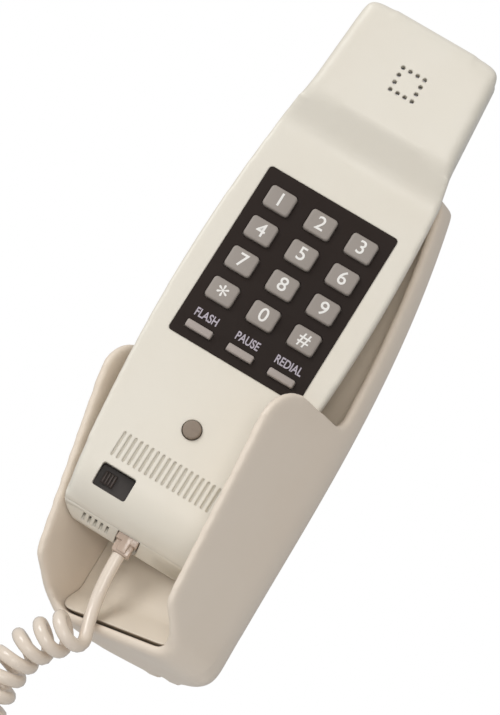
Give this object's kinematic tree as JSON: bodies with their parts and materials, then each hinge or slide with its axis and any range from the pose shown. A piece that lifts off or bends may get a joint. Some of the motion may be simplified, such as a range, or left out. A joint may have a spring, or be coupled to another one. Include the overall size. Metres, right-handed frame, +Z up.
{
  "type": "wall telephone",
  "caption": "Wall telephone in two pieces: a slim handset with keypad, ear block and mouth grille, lying face out in a boat shaped wall cradle, with a curled cord.",
  "frame": {"origin": "on the wall plane, midway between the two keyhole openings in the cradle's back plate", "axes": "+Z up the wall towards the ear end, +X to the right, the wall at Y = 0 and the front towards -Y"},
  "size_m": [0.0944, 0.075, 0.3943],
  "materials": {
    "cradle_plastic": "satin moulded, warm ivory",
    "plate_plastic": "matte moulded, ivory",
    "handset_plastic": "satin moulded, warm ivory",
    "panel_plastic": "fine matte, dark brown",
    "key_plastic": "fine matte, warm grey",
    "membrane_rubber": "matte",
    "board": "lacquered laminate, green",
    "dark_plastic": "matte, near black",
    "slider_plastic": "matte, grey",
    "metal_can": "satin",
    "steel": "zinc plated",
    "clear_plastic": "clear, slightly smoky",
    "cord_jacket": "smooth vinyl, ivory"
  },
  "bodies": {
    "cradle": {"cradle_shell": "cradle_plastic", "cradle_saddle": "cradle_plastic", "cradle_back_plate": "plate_plastic", "cradle_screws": "steel"},
    "handset": {"board_components": "dark_plastic", "circuit_board": "board", "cord_curls": "cord_jacket", "cord_straight": "cord_jacket", "cord_tail": "cord_jacket", "handset_front_shell": "handset_plastic", "handset_jack": "dark_plastic", "handset_plug": "clear_plastic", "handset_rear_shell": "handset_plastic", "handset_screws": "steel", "hook_switch": "dark_plastic", "keypad_membrane": "membrane_rubber", "keypad_panel": "panel_plastic", "microphone": "metal_can", "microphone_boot": "membrane_rubber", "mode_switch": "dark_plastic", "receiver_capsule": "metal_can", "receiver_gasket": "membrane_rubber", "ringer_disc": "metal_can", "wall_plug": "clear_plastic"},
    "key_1": {"key_1": "key_plastic"},
    "key_2": {"key_2": "key_plastic"},
    "key_3": {"key_3": "key_plastic"},
    "key_4": {"key_4": "key_plastic"},
    "key_5": {"key_5": "key_plastic"},
    "key_6": {"key_6": "key_plastic"},
    "key_7": {"key_7": "key_plastic"},
    "key_8": {"key_8": "key_plastic"},
    "key_9": {"key_9": "key_plastic"},
    "key_star": {"key_star": "key_plastic"},
    "key_0": {"key_0": "key_plastic"},
    "key_hash": {"key_hash": "key_plastic"},
    "key_flash": {"key_flash": "key_plastic"},
    "key_pause": {"key_pause": "key_plastic"},
    "key_redial": {"key_redial": "key_plastic"},
    "hook_button": {"hook_button": "key_plastic"},
    "mode_slider": {"mode_slider": "slider_plastic"}
  },
  "joints": [
    {"name": "handset_lift_off", "type": "slide", "parent": "cradle", "child": "handset", "axis": [0, -1, 0], "range_m": [0, 0.12]},
    {"name": "press_1", "type": "slide", "parent": "handset", "child": "key_1", "axis": [-0.5398, 0.8416, 0.0177], "range_m": [0, 0.0012], "stiffness_N_per_m": 800},
    {"name": "press_2", "type": "slide", "parent": "handset", "child": "key_2", "axis": [-0.5398, 0.8416, 0.0177], "range_m": [0, 0.0012], "stiffness_N_per_m": 800},
    {"name": "press_3", "type": "slide", "parent": "handset", "child": "key_3", "axis": [-0.5398, 0.8416, 0.0177], "range_m": [0, 0.0012], "stiffness_N_per_m": 800},
    {"name": "press_4", "type": "slide", "parent": "handset", "child": "key_4", "axis": [-0.5398, 0.8416, 0.0177], "range_m": [0, 0.0012], "stiffness_N_per_m": 800},
    {"name": "press_5", "type": "slide", "parent": "handset", "child": "key_5", "axis": [-0.5398, 0.8416, 0.0177], "range_m": [0, 0.0012], "stiffness_N_per_m": 800},
    {"name": "press_6", "type": "slide", "parent": "handset", "child": "key_6", "axis": [-0.5398, 0.8416, 0.0177], "range_m": [0, 0.0012], "stiffness_N_per_m": 800},
    {"name": "press_7", "type": "slide", "parent": "handset", "child": "key_7", "axis": [-0.5398, 0.8416, 0.0177], "range_m": [0, 0.0012], "stiffness_N_per_m": 800},
    {"name": "press_8", "type": "slide", "parent": "handset", "child": "key_8", "axis": [-0.5398, 0.8416, 0.0177], "range_m": [0, 0.0012], "stiffness_N_per_m": 800},
    {"name": "press_9", "type": "slide", "parent": "handset", "child": "key_9", "axis": [-0.5398, 0.8416, 0.0177], "range_m": [0, 0.0012], "stiffness_N_per_m": 800},
    {"name": "press_star", "type": "slide", "parent": "handset", "child": "key_star", "axis": [-0.5398, 0.8416, 0.0177], "range_m": [0, 0.0012], "stiffness_N_per_m": 800},
    {"name": "press_0", "type": "slide", "parent": "handset", "child": "key_0", "axis": [-0.5398, 0.8416, 0.0177], "range_m": [0, 0.0012], "stiffness_N_per_m": 800},
    {"name": "press_hash", "type": "slide", "parent": "handset", "child": "key_hash", "axis": [-0.5398, 0.8416, 0.0177], "range_m": [0, 0.0012], "stiffness_N_per_m": 800},
    {"name": "press_flash", "type": "slide", "parent": "handset", "child": "key_flash", "axis": [-0.5398, 0.8416, 0.0177], "range_m": [0, 0.0012], "stiffness_N_per_m": 800},
    {"name": "press_pause", "type": "slide", "parent": "handset", "child": "key_pause", "axis": [-0.5398, 0.8416, 0.0177], "range_m": [0, 0.0012], "stiffness_N_per_m": 800},
    {"name": "press_redial", "type": "slide", "parent": "handset", "child": "key_redial", "axis": [-0.5398, 0.8416, 0.0177], "range_m": [0, 0.0012], "stiffness_N_per_m": 800},
    {"name": "press_hook", "type": "slide", "parent": "handset", "child": "hook_button", "axis": [-0.5398, 0.8416, 0.0177], "range_m": [0, 0.0012], "stiffness_N_per_m": 600},
    {"name": "mode_slide", "type": "slide", "parent": "handset", "child": "mode_slider", "axis": [0.8375, 0.5391, -0.0894], "range_m": [0, 0.004]}
  ]
}
